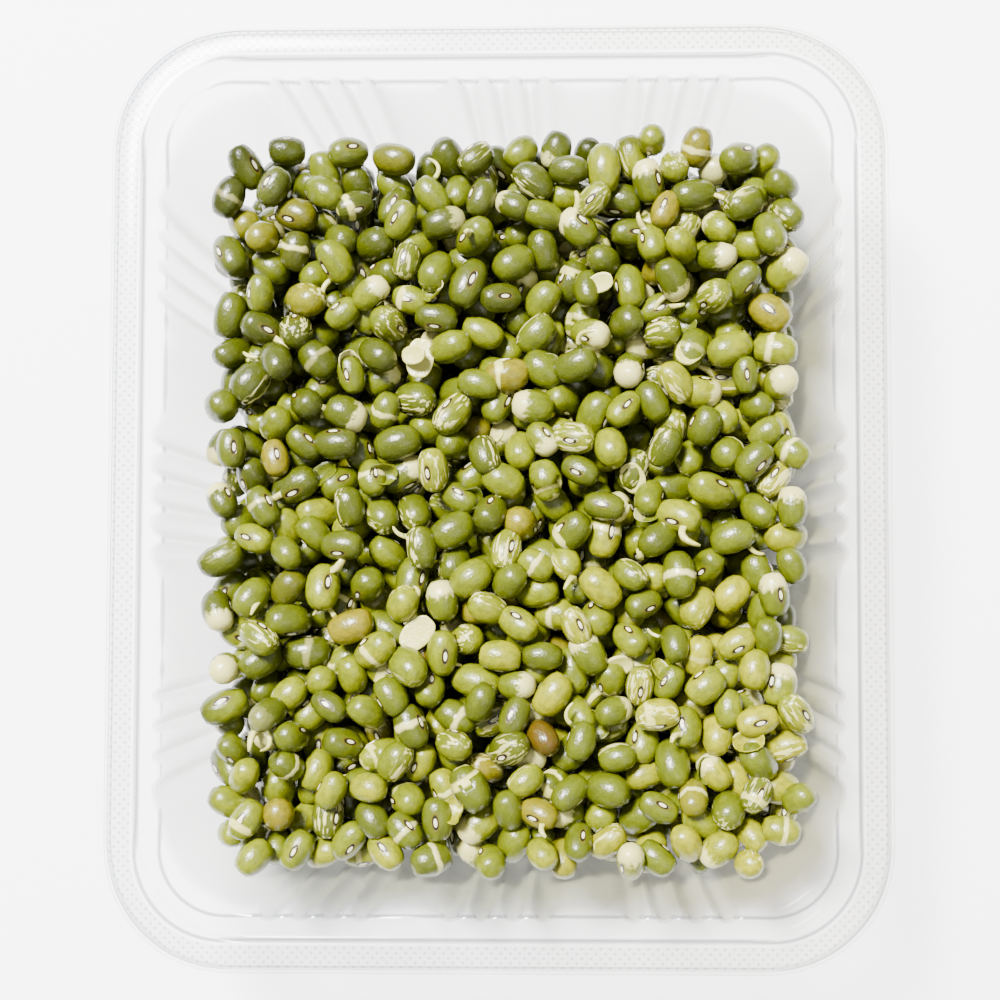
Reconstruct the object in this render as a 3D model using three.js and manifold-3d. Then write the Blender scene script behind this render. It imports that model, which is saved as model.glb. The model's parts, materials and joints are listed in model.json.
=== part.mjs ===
// A clear thermoformed punnet filled with sprouted mung beans. Millimetres, +Z up, long side along Y.
// The origin is at the middle of the base. The tray is one formed sheet. The beans that lie on top are
// single solids, and the packed beans under them are one joined solid with a pocket for each.
import * as THREE from "three";
import { mergeVertices } from "three/addons/utils/BufferGeometryUtils.js";
import Module from "manifold-3d";

const wasm = await Module();
wasm.setup();

// The tray's sheet and its outer size.
const TRAY_WIDTH = 114;
const TRAY_LENGTH = 138;
const TRAY_HEIGHT = 36;
const OUTER_CORNER = 18;
const SHEET = 0.5;

// The rim, from its outer edge inward: a narrow lip, a short skirt, the sealing flange and a step
// down to the ledge that the lid's plug sits in.
const LIP_WIDTH = 0.7;
const LIP_DROP = 2;
const SKIRT_LEAN = 0.4;
const FLANGE_EDGE = 5;
const FLANGE_CORNER = 15.5;
const STEP_LEAN = 0.3;
const STEP_DEPTH = 1.2;

// The basin under the ledge.
const OPENING_WIDTH = 97.2;
const OPENING_LENGTH = 119.2;
const OPENING_CORNER = 13;
const LEDGE_HEIGHT = TRAY_HEIGHT - STEP_DEPTH;
const DRAFT = Math.tan(THREE.MathUtils.degToRad(4));
const BASE_ROUND = 3.5;

// Half-round flutes that stiffen the walls, in three groups on each side.
const FLUTE = { width: 3.5, depth: 1.5, pitch: 4.5, foot: 9, sink: 0.1, steps: 4 };
const END_FLUTES = { groups: 3, each: 4, groupPitch: 26.5 };
const SIDE_FLUTES = { groups: 3, each: 5, groupPitch: 32.6 };
const CORNER_STEPS = 6;

// The beans: the sizes of one swollen seed, and how the top layer lies.
const BEAN = { length: 6.4, width: 4.9, thick: 4.7, squareness: 0.82 };
const BEAN_COLUMNS = 7;
const BEAN_ROWS = 8;
const BEAN_PITCH_X = 12.4;
const BEAN_PITCH_Y = 13.4;
const BEAN_JITTER = 2.4;
const BEAN_LEVEL = 22.9;
const LEVEL_JITTER = 0.7;
const ROOT_EVERY = 4;
const LOOSE_HALVES = [17, 38];
const GAP = 0.3;

// The packed beans under the top layer.
const BED_TOP = 20.6;
const BED_BEAN_PITCH = 7.2;
const BED_BEAN_LEVEL = 20.5;
const BED_BEAN_REACH = { x: 43, y: 54 };
const CLEAR_OF_SINGLE = 5.2;

// A repeatable stream of numbers from 0 to 1.
function makeRandom(seed) {
  let state = seed;
  return () => {
    state = (state * 1664525 + 1013904223) % 4294967296;
    return state / 4294967296;
  };
}

// A number spread evenly about zero, up to the reach on either side.
function spread(random, reach) {
  return (2 * random() - 1) * reach;
}

function toSolid(geometry) {
  const bare = geometry.index ? geometry.clone() : geometry;
  bare.deleteAttribute("normal");
  bare.deleteAttribute("uv");
  const merged = mergeVertices(bare, 1e-4);
  return new wasm.Manifold(new wasm.Mesh({
    numProp: 3,
    vertProperties: merged.attributes.position.array,
    triVerts: Uint32Array.from(merged.index.array),
  }));
}

function toGeometry(solid) {
  const mesh = solid.getMesh();
  const geometry = new THREE.BufferGeometry();
  geometry.setAttribute("position", new THREE.BufferAttribute(mesh.vertProperties, 3));
  geometry.setIndex(new THREE.BufferAttribute(mesh.triVerts, 1));
  geometry.computeVertexNormals();
  return geometry;
}

// The places of the flutes along one side, from its low end to its high end.
function fluteCentres({ groups, each, groupPitch }) {
  const centres = [];
  for (let group = 0; group < groups; group += 1) {
    const middle = (group - (groups - 1) / 2) * groupPitch;
    for (let rib = 0; rib < each; rib += 1) {
      centres.push(middle + (rib - (each - 1) / 2) * FLUTE.pitch);
    }
  }
  return centres;
}

// One level ring round the tray, counter-clockwise: four sides and four round corners. With a flute
// size, each side also has its flutes, as half ellipses that bulge outward.
function ringPoints({ halfX, halfY, corner, z, flute = null }) {
  const points = [];
  for (let side = 0; side < 4; side += 1) {
    const long = side % 2 === 0;
    const reach = long ? halfX : halfY;
    const run = (long ? halfY : halfX) - corner;
    const turn = side * Math.PI / 2;
    const place = (out, along) => {
      const x = out * Math.cos(turn) - along * Math.sin(turn);
      const y = out * Math.sin(turn) + along * Math.cos(turn);
      points.push(new THREE.Vector3(x, y, z));
    };
    if (flute) {
      for (const centre of fluteCentres(long ? SIDE_FLUTES : END_FLUTES)) {
        for (let step = 0; step <= FLUTE.steps; step += 1) {
          const angle = Math.PI * step / FLUTE.steps;
          place(reach + flute.depth * Math.sin(angle), centre - flute.width / 2 * Math.cos(angle));
        }
      }
    }
    for (let step = 0; step <= CORNER_STEPS; step += 1) {
      const angle = Math.PI / 2 * step / CORNER_STEPS;
      place(reach - corner + corner * Math.cos(angle), run + corner * Math.sin(angle));
    }
  }
  return points;
}

// A closed skin through a list of rings. An open list is capped flat at both ends, and a closed one
// joins its last ring to its first.
function loft(rings, closed = false) {
  const rows = rings.map(ringPoints);
  const count = rows[0].length;
  const vertices = rows.flat();
  const faces = [];
  const bands = closed ? rows.length : rows.length - 1;
  for (let band = 0; band < bands; band += 1) {
    const low = band * count;
    const high = (band + 1) % rows.length * count;
    for (let i = 0; i < count; i += 1) {
      const next = (i + 1) % count;
      faces.push(low + i, low + next, high + next, low + i, high + next, high + i);
    }
  }
  if (!closed) {
    const bottom = vertices.length;
    const last = (rows.length - 1) * count;
    vertices.push(new THREE.Vector3(0, 0, rings[0].z));
    vertices.push(new THREE.Vector3(0, 0, rings[rings.length - 1].z));
    for (let i = 0; i < count; i += 1) {
      const next = (i + 1) % count;
      faces.push(bottom, next, i, bottom + 1, last + i, last + next);
    }
  }
  const geometry = new THREE.BufferGeometry().setFromPoints(vertices);
  geometry.setIndex(faces);
  return geometry;
}

// A ring at one inset from the tray's outer edge.
function rimRing(inset, z, corner) {
  return { halfX: TRAY_WIDTH / 2 - inset, halfY: TRAY_LENGTH / 2 - inset, corner, z };
}

// The rim as one closed strip of sheet: over the top from the lip to the ledge, and back underneath.
function rim() {
  const flangeOuter = LIP_WIDTH + SKIRT_LEAN;
  const lipTop = TRAY_HEIGHT - LIP_DROP;
  const ledgeOuter = FLANGE_EDGE + STEP_LEAN;
  const ledgeInner = (TRAY_WIDTH - OPENING_WIDTH) / 2 + SHEET;
  return loft([
    rimRing(0, lipTop - SHEET, OUTER_CORNER),
    rimRing(0, lipTop, OUTER_CORNER),
    rimRing(LIP_WIDTH, lipTop, OUTER_CORNER - LIP_WIDTH),
    rimRing(flangeOuter, TRAY_HEIGHT, OUTER_CORNER - flangeOuter),
    rimRing(FLANGE_EDGE, TRAY_HEIGHT, FLANGE_CORNER),
    rimRing(ledgeOuter, LEDGE_HEIGHT, FLANGE_CORNER - STEP_LEAN),
    rimRing(ledgeInner, LEDGE_HEIGHT, OPENING_CORNER),
    rimRing(ledgeInner, LEDGE_HEIGHT - SHEET, OPENING_CORNER),
    rimRing(ledgeOuter - SHEET, LEDGE_HEIGHT - SHEET, FLANGE_CORNER - STEP_LEAN + SHEET),
    rimRing(FLANGE_EDGE - SHEET, TRAY_HEIGHT - SHEET, FLANGE_CORNER + SHEET),
    rimRing(flangeOuter + SHEET, TRAY_HEIGHT - SHEET, OUTER_CORNER - flangeOuter - SHEET),
    rimRing(LIP_WIDTH + SHEET, lipTop - SHEET, OUTER_CORNER - LIP_WIDTH - SHEET),
  ], true);
}

// A ring on the basin's tapered wall, grown outward or, when negative, inward.
function wallRing(z, grow, flute = null) {
  const out = grow - (LEDGE_HEIGHT - z) * DRAFT;
  return {
    halfX: OPENING_WIDTH / 2 + out,
    halfY: OPENING_LENGTH / 2 + out,
    corner: OPENING_CORNER + out,
    z,
    flute,
  };
}

// The basin as a full block with plain tapered walls and a rounded base edge.
function basin({ floor, top, grow, round }) {
  const halfway = round * (1 - Math.SQRT1_2);
  return toSolid(loft([
    wallRing(floor, grow - round),
    wallRing(floor + halfway, grow - halfway),
    wallRing(floor + round, grow),
    wallRing(top, grow),
  ]));
}

// The flutes of all four sides, standing out of a core sunk just under the plain walls. They run out
// into the wall above the base.
function fluteBlock({ top, grow, width }) {
  const core = grow - FLUTE.sink;
  const full = { width, depth: FLUTE.depth + FLUTE.sink };
  return toSolid(loft([
    wallRing(BASE_ROUND, core, { width, depth: 0 }),
    wallRing(FLUTE.foot, core, full),
    wallRing(top, core, full),
  ]));
}

function tray() {
  const outside = { floor: 0, top: LEDGE_HEIGHT - SHEET / 2, grow: SHEET, round: BASE_ROUND };
  const cavity = { floor: SHEET, top: TRAY_HEIGHT + 1, grow: 0, round: BASE_ROUND - SHEET };
  const sheet = toSolid(rim())
    .add(basin(outside))
    .add(fluteBlock({ ...outside, width: FLUTE.width + 1.6 * SHEET }))
    .subtract(basin(cavity))
    .subtract(fluteBlock({ ...cavity, width: FLUTE.width }));
  return toGeometry(sheet);
}

// One swollen bean, its length along X: a ball drawn out to a blunt barrel. Grow adds a clearance.
function bean(scale, grow = 0, around = 8, along = 6) {
  const shape = new THREE.SphereGeometry(1, around, along).rotateZ(Math.PI / 2);
  const blunt = (value) => Math.sign(value) * Math.abs(value) ** BEAN.squareness;
  const position = shape.attributes.position;
  for (let i = 0; i < position.count; i += 1) {
    const axial = position.getX(i);
    const girth = Math.sqrt(Math.max(0, 1 - axial * axial));
    const swell = girth > 1e-6 ? blunt(girth) / girth : 0;
    position.setXYZ(
      i,
      blunt(axial) * (scale * BEAN.length / 2 + grow),
      position.getY(i) * swell * (scale * BEAN.width / 2 + grow),
      position.getZ(i) * swell * (scale * BEAN.thick / 2 + grow),
    );
  }
  return shape;
}

// A young root, curving away from one end of its bean.
function root(scale, grow = 0) {
  const reach = scale * 3.4 + grow;
  const profile = [
    new THREE.Vector2(0, -0.8),
    new THREE.Vector2(0.62 + grow, 0),
    new THREE.Vector2(0.5 + grow, reach / 2),
    new THREE.Vector2(0, reach),
  ];
  const shape = new THREE.LatheGeometry(profile, 6);
  const position = shape.attributes.position;
  for (let i = 0; i < position.count; i += 1) {
    const out = Math.max(0, position.getY(i));
    position.setX(i, position.getX(i) + 0.16 * out * out);
  }
  return shape.translate(scale * BEAN.length / 4, scale * BEAN.width / 2 - 0.4, 0);
}

// The solid of one bean of the top layer, about its own centre.
function sproutSolid({ scale, kind }, grow = 0) {
  const whole = toSolid(bean(scale, grow));
  if (kind === "rooted") {
    return whole.add(toSolid(root(scale, grow)));
  }
  if (kind === "half") {
    const above = new THREE.BoxGeometry(20, 20, 20).translate(0, 0, 10 + grow);
    return whole.subtract(toSolid(above));
  }
  return whole;
}

// Where each bean of the top layer lies: one to a cell of a loose grid, turned at random.
function sproutPlaces() {
  const random = makeRandom(2026);
  const places = [];
  for (let row = 0; row < BEAN_ROWS; row += 1) {
    for (let column = 0; column < BEAN_COLUMNS; column += 1) {
      const number = places.length + 1;
      const half = LOOSE_HALVES.includes(number);
      const rooted = number % ROOT_EVERY === 0;
      const x = (column - (BEAN_COLUMNS - 1) / 2) * BEAN_PITCH_X + spread(random, BEAN_JITTER);
      const y = (row - (BEAN_ROWS - 1) / 2) * BEAN_PITCH_Y + spread(random, BEAN_JITTER);
      const z = BEAN_LEVEL + spread(random, LEVEL_JITTER);
      const yaw = spread(random, Math.PI);
      const pitch = spread(random, half ? 0.2 : 0.45);
      places.push({
        number,
        kind: half ? "half" : rooted ? "rooted" : "whole",
        scale: half ? 0.9 : 0.92 + 0.2 * random(),
        position: new THREE.Vector3(x, y, z),
        rotation: new THREE.Euler(spread(random, half ? 0.2 : 0.6), pitch, yaw, "ZYX"),
        shade: random(),
      });
    }
  }
  return places;
}

function placed(geometry, { position, rotation }) {
  const turn = new THREE.Quaternion().setFromEuler(rotation);
  const matrix = new THREE.Matrix4().compose(position, turn, new THREE.Vector3(1, 1, 1));
  return geometry.applyMatrix4(matrix);
}

// The packed beans under the top layer: a block that fills the basin to its level, with the backs of
// beans standing out of it, and a pocket with a small clearance round every single bean.
function beanBed(places) {
  const random = makeRandom(77);
  let bed = basin({ floor: SHEET + GAP, top: BED_TOP, grow: -GAP, round: BASE_ROUND - SHEET });
  const rowPitch = BED_BEAN_PITCH * Math.sqrt(3) / 2;
  const rows = Math.floor(BED_BEAN_REACH.y / rowPitch);
  const columns = Math.floor(BED_BEAN_REACH.x / BED_BEAN_PITCH);
  for (let row = -rows; row <= rows; row += 1) {
    for (let column = -columns; column <= columns; column += 1) {
      const stagger = row % 2 === 0 ? 0 : BED_BEAN_PITCH / 2;
      const position = new THREE.Vector3(
        Math.min(column * BED_BEAN_PITCH + stagger, BED_BEAN_REACH.x) + spread(random, 0.8),
        row * rowPitch + spread(random, 0.8),
        BED_BEAN_LEVEL + spread(random, 0.5),
      );
      const rotation = new THREE.Euler(0, spread(random, 0.3), spread(random, Math.PI));
      const overflow = Math.hypot(
        Math.max(0, Math.abs(position.x) - BED_BEAN_REACH.x + OPENING_CORNER),
        Math.max(0, Math.abs(position.y) - BED_BEAN_REACH.y + OPENING_CORNER),
      );
      const single = places.some((place) => (
        Math.hypot(place.position.x - position.x, place.position.y - position.y) < CLEAR_OF_SINGLE
      ));
      if (!single && overflow < OPENING_CORNER) {
        bed = bed.add(toSolid(placed(bean(1, 0, 7, 4), { position, rotation })));
      }
    }
  }
  for (const place of places) {
    bed = bed.subtract(toSolid(placed(toGeometry(sproutSolid(place, GAP)), place)));
  }
  return toGeometry(bed);
}

const SKIN_COLOURS = {
  green: 0x8fa83a,
  yellow: 0xb9c23f,
  brown: 0x8a6f2c,
  cream: 0xe9e6bd,
};

function skinMaterial(name) {
  return new THREE.MeshStandardMaterial({
    name,
    color: SKIN_COLOURS[name],
    roughness: 0.42,
    metalness: 0,
  });
}

// Most skins are green, some are ripe yellow and a few are brown.
function skinOf({ kind, shade }) {
  if (kind === "half") {
    return "cream";
  }
  if (shade > 0.93) {
    return "brown";
  }
  return shade > 0.62 ? "yellow" : "green";
}

const punnet = new THREE.Group();

const clearSheet = new THREE.MeshStandardMaterial({
  color: 0xe8edf0,
  roughness: 0.08,
  metalness: 0,
  transparent: true,
  opacity: 0.35,
});
const trayMesh = new THREE.Mesh(tray(), clearSheet);
trayMesh.name = "tray";
punnet.add(trayMesh);

const skins = Object.fromEntries(Object.keys(SKIN_COLOURS).map((name) => [name, skinMaterial(name)]));
const places = sproutPlaces();

const contents = new THREE.Group();
punnet.add(contents);

const bedMesh = new THREE.Mesh(beanBed(places), skins.green);
bedMesh.name = "bean_bed";
contents.add(bedMesh);

for (const place of places) {
  const mesh = new THREE.Mesh(toGeometry(sproutSolid(place)), skins[skinOf(place)]);
  const label = place.kind === "half" ? "seed_half" : "sprouted_bean";
  mesh.name = `${label}_${String(place.number).padStart(2, "0")}`;
  mesh.position.copy(place.position);
  mesh.rotation.copy(place.rotation);
  contents.add(mesh);
}

export default punnet;
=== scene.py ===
# %% [markdown]
# # Sprouted mung beans in a clear punnet
# The object is a thin clear tray with a fluted wall, a smooth ledge and a flat sealing flange, filled
# to two thirds with damp mung beans that have just begun to sprout. The CAD frame holds the tray, the
# beans that lie on top as single solids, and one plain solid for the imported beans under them.
# Blender makes the formed sheet smooth, turns every CAD bean into a finished one in the same place,
# and packs real separate beans where the plain solid is.

import json
import math
import random

import bmesh
import bpy
import numpy as np
from mathutils import Matrix, Vector


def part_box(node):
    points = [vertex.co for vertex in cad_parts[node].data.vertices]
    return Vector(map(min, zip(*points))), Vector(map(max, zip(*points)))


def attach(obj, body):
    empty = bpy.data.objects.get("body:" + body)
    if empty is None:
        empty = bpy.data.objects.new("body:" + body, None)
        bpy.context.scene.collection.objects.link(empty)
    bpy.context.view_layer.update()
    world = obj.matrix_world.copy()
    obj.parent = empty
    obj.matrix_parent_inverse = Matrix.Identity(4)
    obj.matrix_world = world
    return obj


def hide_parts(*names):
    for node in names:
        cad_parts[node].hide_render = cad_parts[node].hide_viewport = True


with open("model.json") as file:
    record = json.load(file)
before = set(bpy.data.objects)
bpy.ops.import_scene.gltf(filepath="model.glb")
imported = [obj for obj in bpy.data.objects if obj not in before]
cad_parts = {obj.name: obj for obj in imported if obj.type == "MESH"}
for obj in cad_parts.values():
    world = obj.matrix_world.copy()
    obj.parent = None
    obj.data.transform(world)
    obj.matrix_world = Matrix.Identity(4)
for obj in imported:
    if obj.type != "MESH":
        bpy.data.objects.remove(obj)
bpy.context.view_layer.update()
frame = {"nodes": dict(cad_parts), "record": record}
tray_low, tray_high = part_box("tray")
bed_low, bed_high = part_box("bean_bed")
cad_beans = sorted(name for name in frame["nodes"] if name not in ("tray", "bean_bed"))

# %% [markdown]
# ## Working by hand in code
# Operators act on everything that is selected, and the frame arrives selected. So each step first
# clears the selection, names the one object it works on, and selects faces or points by their place.

# %% Helpers for objects and edit mode
MM = 0.001


def work_on(*objects):
    """Selects only these objects, and makes the first one active."""
    bpy.ops.object.select_all(action="DESELECT")
    for item in objects:
        item.select_set(True)
    bpy.context.view_layer.objects.active = objects[0]


def start_edit(piece):
    work_on(piece)
    bpy.ops.object.mode_set(mode="EDIT")


def end_edit():
    bpy.ops.object.mode_set(mode="OBJECT")


def select_points(piece, wanted):
    """In edit mode, selects the points whose place passes the test, and what lies between them."""
    bpy.ops.mesh.select_all(action="DESELECT")
    mesh = bmesh.from_edit_mesh(piece.data)
    chosen = [point for point in mesh.verts if wanted(point.co)]
    for point in chosen:
        point.select = True
    mesh.select_flush(True)
    bmesh.update_edit_mesh(piece.data)
    return len(chosen)


def select_faces(piece, wanted):
    """In edit mode, selects the faces that pass the test."""
    bpy.ops.mesh.select_all(action="DESELECT")
    mesh = bmesh.from_edit_mesh(piece.data)
    chosen = [face for face in mesh.faces if wanted(face)]
    for face in chosen:
        face.select_set(True)
    bmesh.update_edit_mesh(piece.data)
    return chosen


def apply_modifier(piece, kind, **settings):
    work_on(piece)
    modifier = piece.modifiers.new(kind.title(), kind)
    for name, value in settings.items():
        setattr(modifier, name, value)
    bpy.ops.object.modifier_apply(modifier=modifier.name)


def apply_place(*pieces):
    work_on(*pieces)
    bpy.ops.object.transform_apply(location=True, rotation=True, scale=True)


# %% [markdown]
# ## The clear sheet
# A punnet is drawn from one flat sheet, so it is modelled as one surface and given its thickness at
# the end. A lathe can't make it, because it is a rounded rectangle. So a plane gets round corners,
# and its outline is drawn down level by level with extrude and resize, as the mould draws the sheet.

# %% Measures of the tray, in millimetres
half_width = tray_high.x / MM
half_length = tray_high.y / MM
rim_height = tray_high.z / MM
OUTER_CORNER = 18
SHEET = 0.5
LEDGE_HEIGHT = rim_height - 1.2
OPENING = (48.6, 59.6)
DRAFT = math.tan(math.radians(4))
LEDGE_START = 5.55
LEDGE_WIDTH = 2.55

# How far in from the outer edge, and how far below the flange, each level of the rim lies.
RIM_LEVELS = [
    (0.45, 2.0), (0.75, 1.85), (1.0, 0.3), (1.35, 0.0),
    (4.75, 0.0), (5.1, 0.25), (5.25, 1.0), (LEDGE_START, 1.2),
]
WALL_LEVELS = [34.3, 31.0, 9.5, 6.0, 3.4, 1.5]


def wall_half(height):
    """Half the basin's inside width and length at one height."""
    drawn = (LEDGE_HEIGHT - height) * DRAFT
    return OPENING[0] - drawn, OPENING[1] - drawn


# %% [markdown]
# ### The outline and its flutes
# The flutes are half-round grooves 4.5 mm apart, in three groups on each side. Each needs four points
# across it. Cutting the outline with flat planes puts those points exactly across from each other on
# both sides, and every later level inherits them.

# %% Round the corners of the outline and cut it for the flutes
FLUTE_PITCH = 4.5
FLUTE_EDGE = 1.75
FLUTE_CROWN = 0.85
FLUTE_DEPTH = 1.7


def flute_places(each, group_pitch):
    """The middles of the flutes on one side: three groups of evenly spaced ones."""
    return [
        (group - 1) * group_pitch + (rib - (each - 1) / 2) * FLUTE_PITCH
        for group in range(3) for rib in range(each)
    ]


end_flutes = flute_places(4, 26.5)
side_flutes = flute_places(5, 32.6)
squeeze = (
    (half_width - LEDGE_START) / half_width,
    (half_length - LEDGE_START) / half_length,
)

bpy.ops.mesh.primitive_plane_add(size=1)
tray = bpy.context.object
tray.name = "clear_tray"
tray.scale = (2 * half_width * MM, 2 * half_length * MM, 1)
tray.location.z = (rim_height - 2) * MM
apply_place(tray)
start_edit(tray)
bpy.ops.mesh.select_all(action="SELECT")
bpy.ops.mesh.bevel(offset=OUTER_CORNER * MM, segments=9, affect="VERTICES")
bpy.ops.mesh.select_all(action="SELECT")
bpy.ops.mesh.delete(type="ONLY_FACE")
for axis, places in ((0, end_flutes), (1, side_flutes)):
    direction = [0, 0, 0]
    direction[axis] = 1
    for place in places:
        for offset in (-FLUTE_EDGE, -FLUTE_CROWN, FLUTE_CROWN, FLUTE_EDGE):
            spot = [0, 0, 0]
            spot[axis] = (place + offset) / squeeze[axis] * MM
            bpy.ops.mesh.select_all(action="SELECT")
            bpy.ops.mesh.bisect(plane_co=spot, plane_no=direction)
bpy.ops.mesh.select_all(action="SELECT")
bpy.ops.mesh.edge_face_add()
end_edit()
print("outline", len(tray.data.vertices), "points,", len(tray.data.polygons), "face")

# %% [markdown]
# ### Drawing the sheet down
# Each step extrudes the face in the middle, moves it to its level and resizes it. The ledge is made
# with inset instead, which tightens the corners by its width, as on the real tray. Extruding leaves
# the first face behind as a lid and carries one down to the floor. Both have hundreds of corners,
# which subdivision handles very slowly, so they are deleted, and the floor is filled in afterwards.

# %% Draw the rim, the ledge and the wall
level = {"x": half_width, "y": half_length, "z": rim_height - 2}


def draw_to(half_x, half_y, height):
    """Extrudes the middle face to a new level of the given half width and half length."""
    drop = (0, 0, (height - level["z"]) * MM)
    bpy.ops.mesh.extrude_region_move(TRANSFORM_OT_translate={"value": drop})
    ratio = (half_x / level["x"], half_y / level["y"], 1)
    bpy.ops.transform.resize(value=ratio, center_override=(0, 0, height * MM))
    level.update(x=half_x, y=half_y, z=height)


start_edit(tray)
bpy.ops.mesh.select_mode(type="FACE")
bpy.ops.mesh.select_all(action="SELECT")
for inset, drop in RIM_LEVELS:
    draw_to(half_width - inset, half_length - inset, rim_height - drop)
bpy.ops.mesh.inset(thickness=LEDGE_WIDTH * MM, use_even_offset=True)
level.update(x=level["x"] - LEDGE_WIDTH, y=level["y"] - LEDGE_WIDTH)
for height in WALL_LEVELS:
    draw_to(*wall_half(height), height)
draw_to(level["x"] - 1.4, level["y"] - 1.4, SHEET + 0.1)
draw_to(level["x"] - 1.8, level["y"] - 1.8, SHEET)
select_faces(tray, lambda face: len(face.verts) > 4)
bpy.ops.mesh.delete(type="ONLY_FACE")
bpy.ops.mesh.select_mode(type="VERT")
end_edit()
print("drawn", len(tray.data.polygons), "faces down to", round(level["z"], 1), "mm")

# %% [markdown]
# ### Pushing the flutes out
# The two middle points of each flute move outward, from the ledge down to where the flute runs out.
# The points are found by their place along the side, allowing for how far the draft has drawn them in.

# %% Push out the flutes, side by side
FLUTE_FOOT = 9.0
FLUTE_HEAD = LEDGE_HEIGHT + 0.2


def is_flute_point(place, side_axis, sign):
    """True for a middle point of a flute on the side that faces along the axis with that sign."""
    across, along = place[side_axis] / MM * sign, place[1 - side_axis] / MM
    height = place.z / MM
    if not FLUTE_FOOT < height < FLUTE_HEAD:
        return False
    edge = OPENING[side_axis] + 0.6
    half = wall_half(min(height, LEDGE_HEIGHT))
    if not half[side_axis] - 0.5 < across < edge:
        return False
    drawn_in = half[1 - side_axis] / OPENING[1 - side_axis]
    places = side_flutes if side_axis == 0 else end_flutes
    return any(abs(abs(along / drawn_in - flute) - FLUTE_CROWN) < 0.3 for flute in places)


start_edit(tray)
for side_axis in (0, 1):
    for sign in (1, -1):
        outward = [0, 0, 0]
        outward[side_axis] = sign * FLUTE_DEPTH * MM
        found = select_points(tray, lambda place: is_flute_point(place, side_axis, sign))
        bpy.ops.transform.translate(value=outward)
        print("side", side_axis, sign, "moved", found, "points")
end_edit()

# %% [markdown]
# ### Smooth surface, then thickness
# One level of subdivision rounds the flutes and the corners of the levels the way warm sheet does.
# Solidify then adds the sheet's thickness on the outside. The face of the floor tells which way the
# surface points, so that the wall grows outward and the beans keep their room.

# %% Smooth the sheet, fill its floor and give it its thickness
apply_modifier(tray, "SUBSURF", levels=1, render_levels=1)
start_edit(tray)
floor_level = min(point.co.z for point in tray.data.vertices)
select_points(tray, lambda place: place.z < floor_level + 1e-6)
bpy.ops.mesh.edge_face_add()
bpy.ops.mesh.inset(thickness=12 * MM)
bpy.ops.mesh.select_all(action="SELECT")
bpy.ops.mesh.normals_make_consistent(inside=False)
end_edit()
floor_face = min(tray.data.polygons, key=lambda face: face.center.z)
if floor_face.normal.z < 0:
    tray.data.flip_normals()
apply_modifier(tray, "SOLIDIFY", thickness=SHEET * MM, offset=-1, use_even_offset=True)
work_on(tray)
bpy.ops.object.shade_smooth_by_angle(angle=math.radians(50))
print("sheet", len(tray.data.polygons), "faces,", [round(v / MM, 1) for v in tray.dimensions], "mm")

# %% [markdown]
# ## The bean
# A mung bean is a small barrel, about 6.4 mm long and 4.8 mm thick, with a scar on one flank where it
# hung in the pod. A ball with few faces is enough for something that is repeated two thousand times.
# Cast fills it out towards a cylinder, and the flank with the scar is pressed a little flatter. The
# long axis is Z and the scar faces +X, and every kind of bean keeps to that.

# %% Model the whole bean
BEAN_HALF = (2.45 * MM, 2.35 * MM, 3.2 * MM)


def new_bean(name):
    """A plain whole bean at the origin, long axis up, scar towards +X."""
    bpy.ops.object.select_all(action="DESELECT")
    bpy.ops.mesh.primitive_uv_sphere_add(segments=12, ring_count=8, radius=1)
    bean = bpy.context.object
    bean.name = name
    apply_modifier(bean, "CAST", cast_type="CYLINDER", factor=0.24)
    bean.scale = [half / size * 2 for half, size in zip(BEAN_HALF, bean.dimensions)]
    apply_place(bean)
    start_edit(bean)
    select_points(bean, lambda place: place.x > 0.8 * BEAN_HALF[0])
    bpy.ops.transform.translate(value=(-0.12 * MM, 0, 0))
    select_points(bean, lambda place: abs(place.z) > 0.85 * BEAN_HALF[2])
    bpy.ops.transform.translate(value=(0.16 * MM, 0, 0))
    end_edit()
    return bean


whole_bean = new_bean("whole_bean")
print("whole bean", len(whole_bean.data.polygons), "faces")

# %% [markdown]
# ### The root
# The first root breaks out beside the scar and curls along the bean. It is drawn out of one face:
# each step extrudes the face along its normal, turns it a little and makes it smaller.

# %% Draw a root out of a bean
def grow_root(bean, steps):
    """Extrudes one face beside the scar. Each step is a length in mm, a turn in degrees, a size."""
    start_edit(bean)
    bpy.ops.mesh.select_mode(type="FACE")
    spot = Vector((BEAN_HALF[0], 0.4 * MM, 0.4 * BEAN_HALF[2]))
    mesh = bmesh.from_edit_mesh(bean.data)
    first = min(mesh.faces, key=lambda face: (face.calc_center_median() - spot).length)
    select_faces(bean, lambda face: face.index == first.index)
    bpy.ops.mesh.inset(thickness=0.12 * MM)
    for length, turn, size in steps:
        mesh = bmesh.from_edit_mesh(bean.data)
        face = next(face for face in mesh.faces if face.select)
        move = face.normal * length * MM
        middle = face.calc_center_median() + move
        bpy.ops.mesh.extrude_region_move(TRANSFORM_OT_translate={"value": move})
        bpy.ops.transform.rotate(value=math.radians(turn), orient_axis="Y", center_override=middle)
        bpy.ops.transform.resize(value=(size, size, size), center_override=middle)
    bpy.ops.mesh.select_mode(type="VERT")
    end_edit()
    print(bean.name, "root tip at", [round(v / MM, 1) for v in middle])


rooted_bean = new_bean("rooted_bean")
grow_root(rooted_bean, [(0.5, 10, 0.95), (0.7, 24, 0.92), (0.8, 26, 0.85), (0.8, 16, 0.6)])
curled_bean = new_bean("curled_bean")
CURL = [(0.5, 0, 1), (0.8, 28, 1), (0.9, 34, 0.92), (0.9, 26, 0.85), (0.9, 12, 0.8), (0.8, 0, 0.5)]
grow_root(curled_bean, CURL)

# %% [markdown]
# ### Split coats, halves and shed coats
# Where the seed swells, its coat splits and the cream flesh shows. On a split bean the faces that
# are still covered are raised by the thickness of the coat, which leaves a real step at the tear.
# A half is a bean cut along its length, and a shed coat is the outside of one alone.

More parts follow.
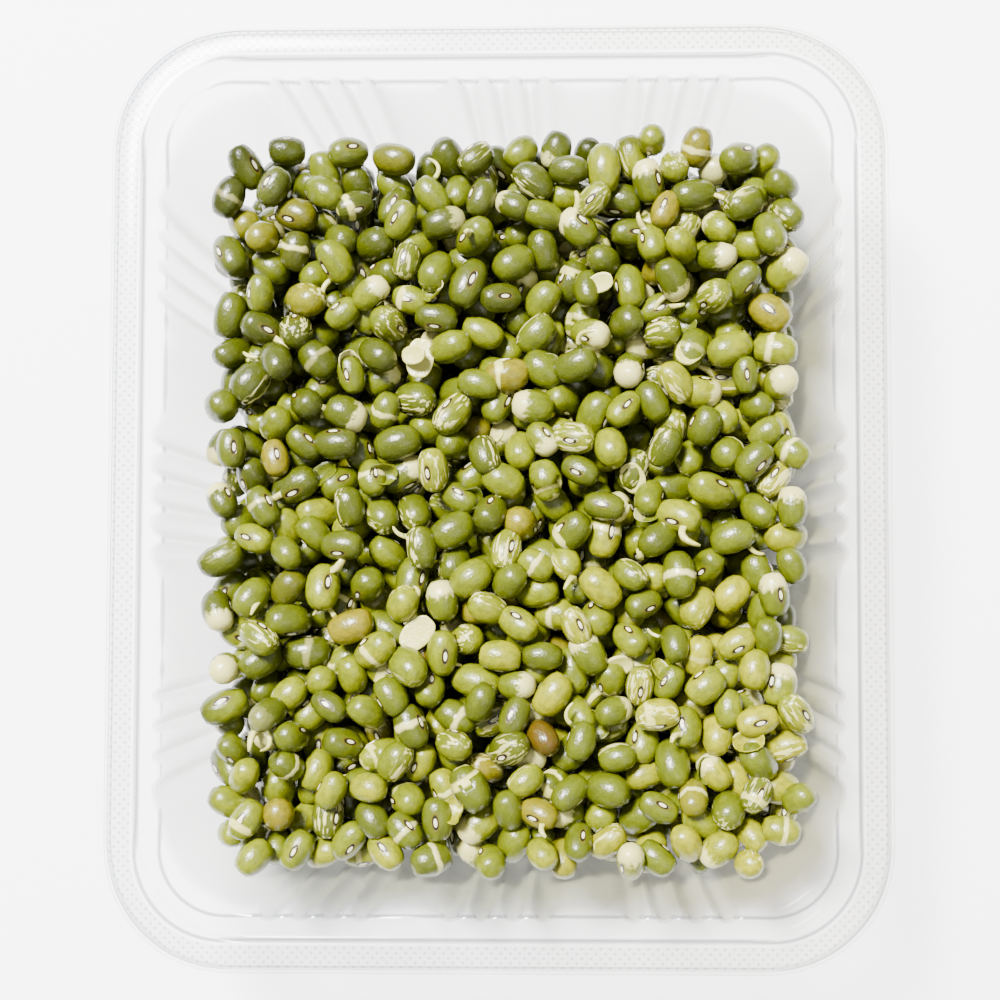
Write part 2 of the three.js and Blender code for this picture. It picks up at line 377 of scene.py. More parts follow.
# %% Model the split bean, the half and the shed coat
split_bean = new_bean("split_bean")
start_edit(split_bean)
select_faces(
    split_bean,
    lambda face: face.calc_center_median().z < (0.6 + 0.9 * math.sin(face.index * 2.4)) * MM,
)
bpy.ops.mesh.extrude_region_move()
bpy.ops.transform.resize(value=(1.07, 1.07, 1.03), center_override=(0, 0, 0))
end_edit()


def cut_in_half(bean):
    """Cuts a bean along its length and keeps the side away from the scar."""
    start_edit(bean)
    bpy.ops.mesh.select_all(action="SELECT")
    bpy.ops.mesh.bisect(plane_co=(0.01 * MM, 0, 0), plane_no=(1, 0, 0), clear_outer=True)


seed_half = new_bean("seed_half")
cut_in_half(seed_half)
bpy.ops.mesh.edge_face_add()
bpy.ops.mesh.inset(thickness=0.5 * MM)
bpy.ops.transform.translate(value=(-0.25 * MM, 0, 0))
end_edit()

shed_coat = new_bean("shed_coat")
cut_in_half(shed_coat)
select_points(shed_coat, lambda place: abs(place.z) > 2.2 * MM and place.x > -0.5 * MM)
bpy.ops.transform.translate(value=(-0.7 * MM, 0.3 * MM, 0))
end_edit()
apply_modifier(shed_coat, "SOLIDIFY", thickness=0.12 * MM, offset=-1)
print("split", len(split_bean.data.polygons), "half", len(seed_half.data.polygons), "faces")

# %% [markdown]
# ### What the finish needs to know
# The bean's own colour follows the bean, not the tray, so each point carries its place on its own
# bean, from -1 to 1 along each axis. A second value says how much bare flesh there is at that point,
# and a third, which is the same all over a bean, makes each bean its own shade; on the buried beans it
# is set darker, as painted shade for the gaps between them.

# %% Give every kind its attributes
kinds = {
    "whole": whole_bean, "rooted": rooted_bean, "curled": curled_bean,
    "split": split_bean, "half": seed_half, "coat": shed_coat,
}


def bareness(kind, place):
    """How much bare flesh shows at a point, from its place on the bean."""
    radius = place.length
    if kind == "half":
        return 1.0
    if kind == "coat":
        return 0.0
    if kind == "split":
        return 1.0 if place.z > 0.02 and radius < 1.045 else 0.0
    if kind == "whole":
        return 0.0
    reach = math.hypot(place.x - 1.0, place.y - 0.17, place.z - 0.42)
    return 1.0 if place.x > 0.93 and reach < 0.3 or radius > 1.22 else 0.0


for kind, bean in kinds.items():
    mesh = bean.data
    mesh.attributes.new("bean_place", "FLOAT_VECTOR", "POINT")
    mesh.attributes.new("bare_flesh", "FLOAT", "POINT")
    mesh.attributes.new("tone_with_painted_shade", "FLOAT_VECTOR", "POINT")
    places, bare = mesh.attributes["bean_place"], mesh.attributes["bare_flesh"]
    for index, point in enumerate(mesh.vertices):
        place = Vector([part / half for part, half in zip(point.co, BEAN_HALF)])
        places.data[index].vector = place
        bare.data[index].value = bareness(kind, place)
    for face in mesh.polygons:
        face.use_smooth = True
    print(kind, len(mesh.polygons), "faces,", sum(item.value for item in bare.data), "bare points")

# %% [markdown]
# ## Packing the beans
# Beans that are poured into a tray lie every way round, touch each other and leave dark gaps. Rigid
# body physics would give that, but it is slow and doesn't always come out the same. So they
# are poured one by one instead, onto a map of how high the pile is at each place. Each bean tries a
# few places, rests on the highest point under it, and keeps the place where it lies lowest.

# %% Set up the map of the pile
CELL = 0.5
REACH = 9
POUR_LEVEL = 23.0
TRIES = 16
BASIN_CORNER = 12.5
rng = random.Random(41)
pile = np.full((201, 245), SHEET)
steps = np.arange(-REACH, REACH + 1) * CELL
offset_x, offset_y = np.meshgrid(steps, steps, indexing="ij")
single_middles = []
for name in cad_beans:
    corners = [Vector(corner) for corner in frame["nodes"][name].bound_box]
    single_middles.append(sum(corners, Vector()) / 8)
singles = np.array([list(middle) for middle in single_middles]) / MM
print("pile map", pile.shape, "cells of", CELL, "mm, round", len(singles), "single beans")

# %% The underside and the back of one bean
def bean_shell(axis, thick, length):
    """How far a bean's underside and back lie from its middle, over the cells round it."""
    form = np.eye(3) / thick ** 2 + np.outer(axis, axis) * (1 / length ** 2 - 1 / thick ** 2)
    lean = form[0, 2] * offset_x + form[1, 2] * offset_y
    flat = form[0, 0] * offset_x ** 2 + 2 * form[0, 1] * offset_x * offset_y + form[1, 1] * offset_y ** 2
    inside = lean ** 2 - form[2, 2] * (flat - 1)
    root = np.sqrt(np.maximum(inside, 0))
    return inside > 0, (-lean - root) / form[2, 2], (-lean + root) / form[2, 2]


def room_at(x, y, z, reach):
    """True where a bean is inside the basin, clear of the single beans and not too high."""
    half_x, half_y = wall_half(max(z, 1.5))
    corner = (max(abs(x) - half_x + BASIN_CORNER, 0), max(abs(y) - half_y + BASIN_CORNER, 0))
    if math.hypot(*corner) + reach > BASIN_CORNER:
        return False
    if z > POUR_LEVEL + 1.3 * math.sin(x / 9) * math.cos(y / 11):
        return False
    return bool((np.linalg.norm(singles - (x, y, z), axis=1) > 4.7).all())


# %% Pour the beans one by one
poured = []
misses = 0
while misses < 120:
    axis = np.array([rng.gauss(0, 1), rng.gauss(0, 1), rng.gauss(0, 0.75)])
    axis /= np.linalg.norm(axis)
    size = rng.uniform(0.88, 1.1)
    stretch = size * rng.uniform(0.92, 1.08)
    thick, length = 2.4 * size, 3.2 * stretch
    under, low, high = bean_shell(axis, thick, length)
    reach = thick + (length - thick) * max(abs(axis[0]), abs(axis[1]))
    best = None
    for _ in range(TRIES):
        column = rng.randint(REACH, pile.shape[0] - 1 - REACH)
        row = rng.randint(REACH, pile.shape[1] - 1 - REACH)
        patch = pile[column - REACH:column + REACH + 1, row - REACH:row + REACH + 1]
        z = float((patch - low)[under].max())
        x, y = (column - 100) * CELL, (row - 122) * CELL
        if (best is None or z < best[2]) and room_at(x, y, z, reach):
            best = (x, y, z, column, row)
    if best is None:
        misses += 1
        continue
    misses = 0
    x, y, z, column, row = best
    patch = pile[column - REACH:column + REACH + 1, row - REACH:row + REACH + 1]
    patch[under] = np.maximum(patch, z + high)[under]
    poured.append(((x, y, z), axis, (size, size, stretch)))
print("poured", len(poured), "beans up to", round(max(bean[0][2] for bean in poured), 1), "mm")

# %% [markdown]
# ### Which bean lies on top
# A bean is buried when several others lie over it. Those on top get the kinds that show the
# sprouting, and a rooted one is rolled about its long axis until its root points up into the open.

# They are made a little larger than they were poured, so that neighbours touch. Where that brings one
# into the wall or the floor, it is moved back in by just as much.

# %% Sort the poured beans and choose their kinds
middles = np.array([bean[0] for bean in poured]) * MM
axes = np.array([bean[1] for bean in poured])
sizes = np.array([bean[2] for bean in poured]) * 1.07
WALL_GAP = 0.15


def back_inside(middle, axis, size):
    """Moves a bean in from the wall and up from the floor by as much as it reaches past them."""
    thick, length = BEAN_HALF[0] * size[0], BEAN_HALF[2] * size[2]
    reach = np.sqrt(thick ** 2 * (1 - axis ** 2) + length ** 2 * axis ** 2) / MM
    x, y, z = middle / MM
    z = max(z, SHEET + 0.1 + reach[2])
    half_x, half_y = wall_half(max(z - 0.7 * reach[2], 0.0))
    over_x = abs(x) + reach[0] + WALL_GAP - half_x
    over_y = abs(y) + reach[1] + WALL_GAP - half_y
    x -= math.copysign(max(over_x, 0), x)
    y -= math.copysign(max(over_y, 0), y)
    corner_x = max(abs(x) - (half_x - BASIN_CORNER), 0)
    corner_y = max(abs(y) - (half_y - BASIN_CORNER), 0)
    corner = math.hypot(corner_x, corner_y)
    over = corner + max(reach[0], reach[1]) + WALL_GAP - BASIN_CORNER
    if corner_x > 0 and corner_y > 0 and over > 0:
        x -= math.copysign(over * corner_x / corner, x)
        y -= math.copysign(over * corner_y / corner, y)
    return np.array([x, y, z]) * MM


middles = np.array([back_inside(*bean) for bean in zip(middles, axes, sizes)])
everything = np.vstack([middles, np.array([list(middle) for middle in single_middles])])


def beans_over(place, reach):
    """How many beans lie higher than this one within a reach to the side."""
    aside = np.hypot(everything[:, 0] - place[0], everything[:, 1] - place[1])
    return int(np.sum((aside < reach) & (everything[:, 2] > place[2] + 0.6 * MM)))


def crowds_a_single(place):
    """True where a poured bean has come to rest inside or right on top of a single one."""
    for middle in single_middles:
        gap = Vector(place) - middle
        aside = math.hypot(gap.x, gap.y)
        if gap.length < 3.6 * MM or (aside < 3.2 * MM and gap.z > 0):
            return True
    return False


kept = []
for index, middle in enumerate(middles):
    inside = abs(middle[0]) < 47 * MM and abs(middle[1]) < 58 * MM and middle[2] > 0
    if inside and middle[2] < 27 * MM and not crowds_a_single(middle):
        kept.append(index)
on_top = [index for index in kept if beans_over(middles[index], 3.1 * MM) < 3]
below = sorted(set(kept) - set(on_top))
print("kept", len(kept), "on top", len(on_top), "below", len(below))

# %% [markdown]
# ### Copying the kinds into place
# Each bean is a copy with its own mesh, turned so that its long axis lies as it was poured.
# The place goes into the mesh, and the bean's own shade is written on its points. The beans are then
# joined into trays full of one kind, because two thousand separate objects would be slow to handle.

# %% Place a bean of any kind
def turned(axis, towards):
    """A turn that lays a bean's long axis along one direction and its scar towards another."""
    long_way = Vector(axis).normalized()
    side = towards - long_way * towards.dot(long_way)
    if side.length < 1e-6:
        side = long_way.orthogonal()
    side.normalize()
    turn = Matrix((side, long_way.cross(side), long_way)).transposed()
    return turn.to_4x4()


def place_bean(kind, middle, turn, size, shade, name):
    """Copies a kind, writes its shade and puts its place into its mesh."""
    mesh = kinds[kind].data.copy()
    mesh.transform(Matrix.Translation(middle) @ turn @ Matrix.Diagonal((*size, 1)))
    mesh.attributes["tone_with_painted_shade"].data.foreach_set("vector", list(shade) * len(mesh.vertices))
    copy = bpy.data.objects.new(name, mesh)
    bpy.context.scene.collection.objects.link(copy)
    return copy


def any_way():
    return Vector((rng.gauss(0, 1), rng.gauss(0, 1), rng.gauss(0, 1))).normalized()


TOP_KINDS = ["whole"] * 46 + ["split"] * 2 + ["rooted"] * 3 + ["curled"] * 1
trays_full = {}


def add_to(group, bean):
    trays_full.setdefault(group, []).append(bean)


for index in on_top:
    kind = rng.choice(TOP_KINDS)
    if abs(middles[index][0]) > 38 * MM or abs(middles[index][1]) > 49 * MM:
        kind = "whole"
    shade = (rng.random(), rng.random(), rng.random())
    towards = any_way()
    axis = Vector(axes[index])
    if kind in ("rooted", "curled"):
        towards = Vector((0, 0, 1)) + 0.7 * any_way()
    if kind == "split" and axis.z < 0:
        axis = -axis
    turn = turned(axis, towards)
    bean = place_bean(kind, Vector(middles[index]), turn, sizes[index], shade, "top_bean")
    part = 1 + int(middles[index][0] > 0) + 2 * int(middles[index][1] > 0)
    if kind == "whole":
        add_to(f"top_beans_{part}", bean)
    else:
        add_to(f"sprouting_beans_{1 + int(middles[index][1] > 0)}", bean)

by_height = sorted(below, key=lambda index: -middles[index][2])
for count, index in enumerate(by_height):
    # Buried beans get low first shade values, so they come out darker olive: painted shade for the gaps
    # between the beans.
    shade = (0.3 * rng.random() - 0.25, rng.random(), rng.random())
    turn = turned(axes[index], any_way())
    bean = place_bean("whole", Vector(middles[index]), turn, sizes[index], shade, "packed_bean")
    add_to(f"packed_beans_{1 + count * 7 // len(by_height)}", bean)
print({group: len(beans) for group, beans in trays_full.items()})

# %% [markdown]
# Shed coats and loose halves are light, so they end up on the very top, in the dips between beans.

# %% Scatter shed coats and loose halves on top
def height_at(x, y):
    """The top of the beans at one place, from the highest bean near it."""
    aside = np.hypot(everything[:, 0] - x, everything[:, 1] - y)
    near = everything[aside < 3.4 * MM]
    return float(near[:, 2].max()) if len(near) else 0.02


for number in range(20):
    x, y = rng.uniform(-40, 40) * MM, rng.uniform(-50, 50) * MM
    kind = "coat" if number % 4 else "half"
    lean = Vector((rng.uniform(-0.6, 0.6), rng.uniform(-0.6, 0.6), 1)).normalized()
    axis = lean.orthogonal()
    axis.rotate(Matrix.Rotation(rng.uniform(0, math.pi), 3, lean))
    size = [rng.uniform(0.6, 0.85)] * 3
    middle = Vector((x, y, height_at(x, y) + 1.9 * MM))
    shade = (rng.random(), rng.random(), rng.random())
    group = "shed_coats" if kind == "coat" else "loose_halves"
    add_to(group, place_bean(kind, middle, turned(axis, lean), size, shade, group))

fill_pieces = []
for group, beans in trays_full.items():
    work_on(*beans)
    if len(beans) > 1:
        bpy.ops.object.join()
    piece = bpy.context.view_layer.objects.active
    piece.name = group
    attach(piece, "root")
    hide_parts("bean_bed")
    fill_pieces.append(piece)
print(len(fill_pieces), "pieces of packed beans,", sum(len(p.data.polygons) for p in fill_pieces), "faces")

# %% [markdown]
# ## The single beans
# Each single bean of the frame is replaced by a finished one that lies exactly the same way. Its
# solid tells how: the direction in which its points spread most is its long axis, and the few points
# that lie far outside the bean belong to its root.

# %% Read how a single bean lies
def lie_of(node):
    """The middle, long axis, root direction and sizes of a single bean, from its points."""
    points = np.array([list(point.co) for point in node.data.vertices])
    body = points
    for _ in range(4):
        middle = (body.max(axis=0) + body.min(axis=0)) / 2
        centred = body - middle
        spread, ways = np.linalg.eigh(centred.T @ centred)
        long_way = ways[:, 2]
        along = centred @ long_way
        off = np.linalg.norm(centred - np.outer(along, long_way), axis=1)
        inside = (off < 2.75 * MM) & (np.abs(along) < 3.7 * MM)
        if inside.all():
            break
        body = body[inside]
    rest = points - middle
    along = rest @ long_way
    off = np.linalg.norm(rest - np.outer(along, long_way), axis=1)
    outside = rest[(off > 2.9 * MM) | (np.abs(along) > 3.8 * MM)]
    root_way = Vector(outside.mean(axis=0)) if len(outside) else None
    half = np.abs((body - middle) @ long_way).max()
    return Vector(middle), Vector(long_way), root_way, float(half)


slots = {part["node"]: part["material_slot"] for part in frame["record"]["subparts"]}
SINGLE_SHADES = {
    "green_skin": (0.0, 0.62, 0.0), "yellow_skin": (0.72, 0.62, 0.0),
    "brown_skin": (0.3, 0.97, 0.5), "cream_flesh": (0.5, 0.5, 0.9),
}
single_pieces = []
for number, name in enumerate(cad_beans):
    node = frame["nodes"][name]
    middle, long_way, root_way, half = lie_of(node)
    slot = slots[name]
    low_shade = SINGLE_SHADES[slot]
    shade = (low_shade[0] + 0.28 * rng.random(), low_shade[1] * (0.4 + 0.6 * rng.random()), rng.random())
    if slot == "brown_skin":
        shade = (0.3, 0.985, 0.6)
    grown = half / BEAN_HALF[2]
    size = (grown, grown, grown)
    if name.startswith("seed_half"):
        kind = "half"
        low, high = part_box(name)
        middle = (low + high) / 2
        towards = Vector((0, 0, 1))
        long_way = Vector((long_way.x, long_way.y, 0))
        size = (1, 1, 1)
    elif root_way is not None:
        kind = "curled" if number % 2 else "rooted"
        towards = root_way
        if root_way.dot(long_way) < 0:
            long_way = -long_way
    else:
        kind = "split" if number % 6 == 2 else "whole"
        towards = Vector((0, 0, 1)) + 1.2 * any_way()
    turn = turned(long_way, towards)
    piece = place_bean(kind, middle, turn, size, shade, f"finished_{name}")
    apply_modifier(piece, "SUBSURF", levels=1, render_levels=1)
    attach(piece, "root")
    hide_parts(name)
    single_pieces.append(piece)
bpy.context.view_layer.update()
for bean in kinds.values():
    bpy.data.objects.remove(bean)

# %% [markdown]
# ## The finish of the beans
# Under the damp sheen a mung bean is never one green. The shade runs from olive to lime to yellow
# from bean to bean, with a few ochre and brown ones, and the coat is mottled. Cream shows at caps and
# in stripes where the coat is stretched, and the scar is a white oval with a dark rim. All of this is
# computed from the bean's own place and shade, so it stays on the bean however it lies. Painted light
# is added from the place in the tray: darker at the back left, brighter and yellower at the front right.

# %% Helpers for building a finish from nodes
class Finish:
    """A material and a short way to add and wire its nodes."""

    def __init__(self, name):
        self.material = bpy.data.materials.new(name)
        self.material.use_nodes = True
        self.tree = self.material.node_tree
        self.shader = self.tree.nodes["Principled BSDF"]

    def add(self, kind, inputs=(), **settings):
        """Adds a node. Inputs are sockets or plain values, by order or by name."""
        node = self.tree.nodes.new(kind)
        for name, value in settings.items():
            setattr(node, name, value)
        pairs = inputs.items() if isinstance(inputs, dict) else enumerate(inputs)
        for key, value in pairs:
            self.feed(node.inputs[key], value)
        return node

    def feed(self, socket, value):
        if isinstance(value, bpy.types.NodeSocket):
            self.tree.links.new(value, socket)
        elif value is not None:
            socket.default_value = value

    def math(self, operation, *values):
        return self.add("ShaderNodeMath", values, operation=operation).outputs[0]

    def step(self, value, low, high):
        """Goes smoothly from 0 at low to 1 at high."""
        inputs = {"Value": value, "From Min": low, "From Max": high}
        node = self.add("ShaderNodeMapRange", inputs, interpolation_type="SMOOTHSTEP")
        return node.outputs[0]

    def blend(self, factor, first, second):
        """Mixes two colours."""
        node = self.add("ShaderNodeMix", data_type="RGBA")
        for number, value in ((0, factor), (6, first), (7, second)):
            self.feed(node.inputs[number], value)
        return node.outputs[2]

    def parts(self, vector):
        return self.add("ShaderNodeSeparateXYZ", [vector]).outputs

    def scaled(self, vector, amounts, operation="MULTIPLY"):
        """Multiplies a vector part by part, or adds to it."""
        return self.add("ShaderNodeVectorMath", [vector, amounts], operation=operation).outputs[0]

    def noise(self, vector, scale, detail=2.0, roughness=0.5):
        inputs = {"Vector": vector, "Scale": scale, "Detail": detail, "Roughness": roughness}
        return self.add("ShaderNodeTexNoise", inputs).outputs["Fac"]

    def bump(self, height, distance, strength=1.0):
        inputs = {"Height": height, "Distance": distance, "Strength": strength}
        self.feed(self.shader.inputs["Normal"], self.add("ShaderNodeBump", inputs).outputs[0])

    def set(self, **values):
        for name, value in values.items():
            self.feed(self.shader.inputs[name.replace("_", " ").title()], value)


def shade_colour(red, green, blue):
    """A colour from its everyday 0 to 255 values, as the linear light that Blender wants."""
    return tuple(((part / 255 + 0.055) / 1.055) ** 2.4 for part in (red, green, blue)) + (1.0,)


# %% Mix the bean finish
def bean_finish():
    coat = Finish("damp_bean_coat")
    place = coat.add("ShaderNodeAttribute", attribute_name="bean_place").outputs["Vector"]
    shade = coat.add("ShaderNodeAttribute", attribute_name="tone_with_painted_shade").outputs["Vector"]
    bare = coat.add("ShaderNodeAttribute", attribute_name="bare_flesh").outputs["Fac"]
    bean_tone_with_painted_shade, own_b, own_c = coat.parts(shade)[0:3]
    x, y, z = coat.parts(place)[0:3]
    in_tray = coat.parts(coat.add("ShaderNodeTexCoord").outputs["Object"])
    shifted = coat.scaled(shade, (37.0, 53.0, 71.0))
    own_place = coat.scaled(place, shifted, "ADD")

    # Painted light: darker olive at the back left of the tray to brighter yellow at the front right, from
    # the place in the tray; the tone also varies from bean to bean.
    across = coat.math("MULTIPLY_ADD", in_tray[0], 3.2, 0.0)
    along = coat.math("MULTIPLY_ADD", in_tray[1], -2.6, across)
    patch = coat.noise(own_place, 0.9, 3.0)
    ripeness_and_painted_light = coat.math("MULTIPLY_ADD", bean_tone_with_painted_shade, 0.62, along)
    ripeness_and_painted_light = coat.math("MULTIPLY_ADD", patch, 0.5, ripeness_and_painted_light)
    ramp = coat.add("ShaderNodeValToRGB", [coat.math("ADD", ripeness_and_painted_light, -0.02)])
    stops = ramp.color_ramp.elements
    stops[0].position, stops[0].color = 0.0, shade_colour(40, 46, 1)
    stops[1].position, stops[1].color = 1.0, shade_colour(130, 128, 3)
    for position, colour in ((0.3, (58, 65, 1)), (0.55, (77, 85, 1)), (0.8, (102, 108, 1))):
        stops.new(position).color = shade_colour(*colour)
    colour = ramp.outputs[0]
    colour = coat.blend(coat.step(own_b, 0.93, 0.99), colour, shade_colour(104, 94, 3))
    colour = coat.blend(coat.step(own_b, 0.988, 0.994), colour, shade_colour(66, 48, 3))

    # Mottling, fine flecks, and a darker seam that runs round the bean through the scar.
    mottle = coat.noise(own_place, 2.6, 4.0, 0.6)
    dull = coat.math("MULTIPLY", coat.step(mottle, 0.6, 0.36), 0.4)
    colour = coat.blend(dull, colour, shade_colour(52, 56, 2))
    fleck = coat.noise(own_place, 16.0, 2.0)
    flecked = coat.math("MULTIPLY", coat.step(fleck, 0.6, 0.74), 0.22)
    colour = coat.blend(flecked, colour, shade_colour(150, 150, 50))

    # Cream: a cap at one end of some beans, and stripes along the scar's flank of others.
    cream = shade_colour(188, 182, 112)
    ragged = coat.math("MULTIPLY_ADD", coat.noise(own_place, 3.2, 3.0), 0.9, z)
    cap = coat.math("MULTIPLY", coat.step(ragged, 0.62, 0.94), coat.step(own_c, 0.14, 0.12))
    stripe_place = coat.scaled(own_place, (1.0, 1.0, 0.16))
    stripe = coat.step(coat.noise(stripe_place, 4.6, 1.0), 0.52, 0.6)
    flank = coat.step(coat.math("MULTIPLY_ADD", coat.noise(own_place, 1.4), 0.8, x), 0.35, 0.75)
    striped = coat.math("MULTIPLY", coat.step(own_c, 0.82, 0.88), coat.math("MULTIPLY", stripe, flank))
    off_band = coat.math("MULTIPLY_ADD", patch, 0.5, coat.math("ADD", z, -0.35))
    band = coat.step(coat.math("ABSOLUTE", off_band), 0.2, 0.06)
    has_band = coat.math("MULTIPLY", coat.step(own_c, 0.22, 0.24), coat.step(own_c, 0.32, 0.3))
    band = coat.math("MULTIPLY", band, has_band)
    pale = coat.math("MAXIMUM", cap, coat.math("MAXIMUM", striped, band))
    colour = coat.blend(coat.math("MULTIPLY", pale, 0.8), colour, cream)

    # The scar: a white oval, a dark rim and a tan halo.
    wide = coat.math("DIVIDE", y, 0.14)
    tall = coat.math("DIVIDE", coat.math("ADD", z, -0.02), 0.25)
    ring = coat.math("SQRT", coat.math("ADD", coat.math("POWER", wide, 2.0), coat.math("POWER", tall, 2.0)))
    front = coat.step(x, 0.3, 0.6)
    halo = coat.math("MULTIPLY", coat.step(ring, 2.3, 1.3), front)
    rim = coat.math("MULTIPLY", coat.step(ring, 1.55, 1.25), front)
    inside = coat.math("MULTIPLY", coat.step(ring, 0.9, 0.7), front)
    colour = coat.blend(coat.math("MULTIPLY", halo, 0.5), colour, shade_colour(84, 66, 14))
    colour = coat.blend(rim, colour, shade_colour(26, 20, 6))
    colour = coat.blend(inside, colour, shade_colour(196, 192, 150))

    # Bare flesh and roots, a little greener in patches.
    flesh = coat.blend(coat.noise(own_place, 2.0), shade_colour(186, 181, 116), shade_colour(156, 152, 52))
    colour = coat.blend(coat.step(bare, 0.3, 0.7), colour, flesh)
    coat.set(base_color=colour, roughness=0.27, subsurface_weight=0.06, subsurface_scale=0.002)
    coat.shader.inputs["Subsurface Radius"].default_value = (1.0, 0.9, 0.3)
    coat.shader.inputs["Specular IOR Level"].default_value = 0.38
    coat.shader.inputs["Coat Weight"].default_value = 0.12
    coat.shader.inputs["Coat Roughness"].default_value = 0.15
    wrinkle = coat.math("MULTIPLY", coat.math("ADD", coat.noise(own_place, 7.0, 3.0), pale), 0.5)
    wrinkle = coat.math("ADD", wrinkle, coat.math("MULTIPLY", rim, -0.6))
    coat.bump(wrinkle, 0.00022, 0.8)
    return coat.material


bean_coat = bean_finish()
for piece in fill_pieces + single_pieces:
    piece.data.materials.clear()
    piece.data.materials.append(bean_coat)
print("finish on", len(fill_pieces) + len(single_pieces), "pieces,", len(bean_coat.node_tree.nodes), "nodes")

# %% [markdown]
# ## The finish of the clear sheet
# Thin clear sheet is seen by its edges: face on it nearly disappears, and it turns milky where it is
# seen along the surface. So its opacity follows the angle of view, as Layer Weight gives it. The
# flange has a fine grid of dots from the sealing plate, which is a pattern in millimetres, kept to
# the flange by how far a point lies from the outer edge.

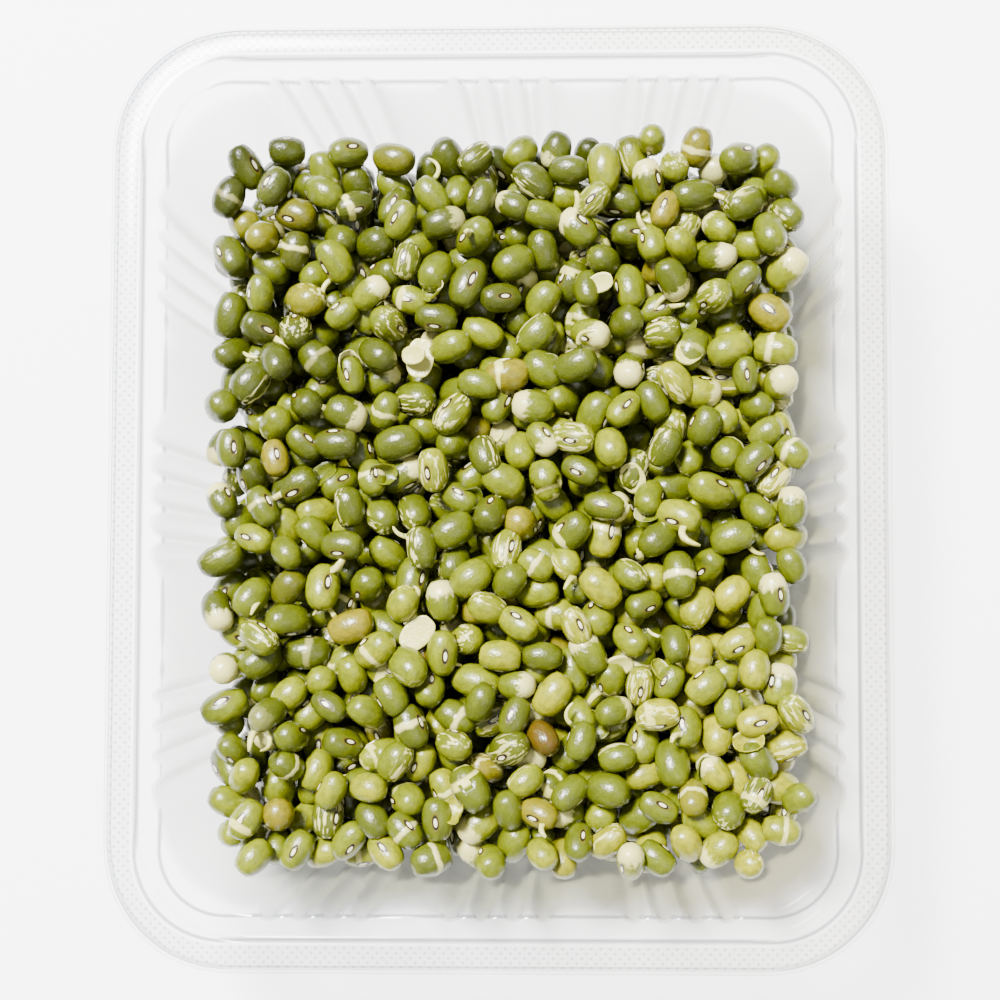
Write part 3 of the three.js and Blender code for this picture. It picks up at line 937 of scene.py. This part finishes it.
# %% Mix the clear sheet
def sheet_finish():
    sheet = Finish("clear_formed_sheet")
    where = sheet.add("ShaderNodeTexCoord").outputs["Object"]
    x, y, z = sheet.parts(where)[0:3]
    dots = sheet.add("ShaderNodeVectorMath", [where, (2 * math.pi / 0.00135,) * 3], operation="MULTIPLY")
    dots = sheet.parts(dots.outputs[0])
    grid = sheet.math("MULTIPLY", sheet.math("COSINE", dots[0]), sheet.math("COSINE", dots[1]))
    dot = sheet.step(grid, 0.25, 0.7)
    side = sheet.math("SUBTRACT", sheet.math("ABSOLUTE", x), (half_width - OUTER_CORNER) * MM)
    end = sheet.math("SUBTRACT", sheet.math("ABSOLUTE", y), (half_length - OUTER_CORNER) * MM)
    side_out, end_out = sheet.math("MAXIMUM", side, 0.0), sheet.math("MAXIMUM", end, 0.0)
    squares = sheet.math("MULTIPLY_ADD", end_out, end_out, sheet.math("MULTIPLY", side_out, side_out))
    round_out = sheet.math("SQRT", squares)
    straight = sheet.math("MINIMUM", sheet.math("MAXIMUM", side, end), 0.0)
    inset = sheet.math("SUBTRACT", sheet.math("SUBTRACT", OUTER_CORNER * MM, round_out), straight)
    on_flange = sheet.math("MULTIPLY", sheet.step(inset, 0.0046, 0.0044), sheet.step(inset, 0.0012, 0.0014))
    on_top = sheet.step(z, (rim_height - 0.3) * MM, (rim_height - 0.1) * MM)
    on_flange = sheet.math("MULTIPLY", on_flange, on_top)
    # Painted shade: darker grey, more opaque lines along the folds of the clear sheet.
    painted_fold_shade = 0.0
    for fold in (0.85, 5.1, 8.3):
        off_fold = sheet.math("ABSOLUTE", sheet.math("SUBTRACT", inset, fold * MM))
        painted_fold_shade = sheet.math("MAXIMUM", sheet.step(off_fold, 0.0003, 0.00014), painted_fold_shade)
    dot = sheet.math("MULTIPLY", dot, on_flange)
    painted_fold_shade = sheet.math("MULTIPLY", painted_fold_shade, sheet.step(z, 0.033, 0.034))
    cloud = sheet.noise(where, 60.0, 3.0)
    edge = sheet.add("ShaderNodeLayerWeight", {"Blend": 0.5}).outputs["Facing"]
    opacity = sheet.math("MULTIPLY_ADD", sheet.math("POWER", edge, 2.2), 0.66, 0.035)
    opacity = sheet.math("MULTIPLY_ADD", on_flange, 0.24, opacity)
    opacity = sheet.math("MULTIPLY_ADD", dot, 0.3, opacity)
    opacity = sheet.math("MULTIPLY_ADD", painted_fold_shade, 0.42, opacity)
    opacity = sheet.math("MULTIPLY_ADD", cloud, 0.03, opacity)
    # Painted reflection: the right half of the sheet is tinted yellow, as if reflecting the beans.
    tint_with_painted_light = sheet.blend(sheet.step(x, -0.05, 0.05), shade_colour(146, 150, 166), shade_colour(168, 161, 134))
    tint_with_painted_light = sheet.blend(sheet.math("MULTIPLY", dot, 0.8), tint_with_painted_light, shade_colour(108, 112, 124))
    tint_with_painted_light = sheet.blend(painted_fold_shade, tint_with_painted_light, shade_colour(84, 86, 90))
    # Painted shade: the colour turns darker grey where the sheet is seen edge-on.
    painted_edge_shade = sheet.math("MULTIPLY", sheet.math("POWER", edge, 2.0), 0.6)
    tint_with_painted_light = sheet.blend(painted_edge_shade, tint_with_painted_light, shade_colour(84, 88, 94))
    # Painted reflection: the wall is tinted yellow-green from 34 mm down, as if reflecting the beans.
    painted_bean_reflection = sheet.math("MULTIPLY", sheet.step(z, 0.034, 0.024), 0.4)
    tint_with_painted_light = sheet.blend(painted_bean_reflection, tint_with_painted_light, shade_colour(168, 168, 92))
    sheet.set(base_color=tint_with_painted_light, alpha=opacity, roughness=0.16)
    sheet.shader.inputs["IOR"].default_value = 1.5
    ripple = sheet.math("MULTIPLY_ADD", sheet.noise(where, 160.0, 2.0), 0.35, dot)
    sheet.bump(ripple, 0.00012, 0.7)
    return sheet.material


tray.data.materials.clear()
tray.data.materials.append(sheet_finish())
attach(tray, "root")
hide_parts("tray")
print("tray finished")

# %% [markdown]
# ## Floor, light and camera
# The tray stands on a white table under large soft lights, looked at from almost straight above. The
# camera stands a little towards the front right, so that more of the left wall and the back wall
# shows than of the others, and a small lens shift brings the tray back to the middle of the view.

# %% Floor
bpy.ops.object.select_all(action="DESELECT")
bpy.ops.mesh.primitive_plane_add(size=6, location=(0, 0, -0.0005))
table = bpy.context.object
table.name = "white_table"
white = Finish("white_table")
white.set(base_color=(0.93, 0.93, 0.93, 1.0), roughness=0.9)
table.data.materials.append(white.material)

# %% Lights
def soft_light(name, place, size, power, colour=(1, 1, 1)):
    bpy.ops.object.light_add(type="AREA", location=place)
    light = bpy.context.object
    light.name = name
    light.data.size = size
    light.data.energy = power
    light.data.color = colour
    light.rotation_euler = (-Vector(place)).to_track_quat("-Z", "Y").to_euler()
    return light


soft_light("window", (-0.28, 0.42, 0.85), 0.22, 78.0)
soft_light("fill", (0.5, -0.35, 0.9), 0.6, 3.5)
world = bpy.data.worlds.new("white_room")
bpy.context.scene.world = world
world.use_nodes = True
world.node_tree.nodes["Background"].inputs["Color"].default_value = (1, 1, 1, 1)
world.node_tree.nodes["Background"].inputs["Strength"].default_value = 0.7

# %% Camera
EYE = Vector((0.014, -0.016, 0.216))
AIM = Vector((0.011, -0.0094, 0.036))
bpy.ops.object.camera_add(location=EYE)
camera = bpy.context.object
down = EYE.z - AIM.z
camera.rotation_euler = (math.atan2(AIM.y - EYE.y, down), math.atan2(EYE.x - AIM.x, down), 0)
camera.data.sensor_width = 36
camera.data.lens = 45.3
camera.data.shift_x = -0.0735
camera.data.shift_y = 0.058
camera.data.clip_start = 0.01
bpy.context.scene.camera = camera
print("camera at", [round(v, 4) for v in EYE])
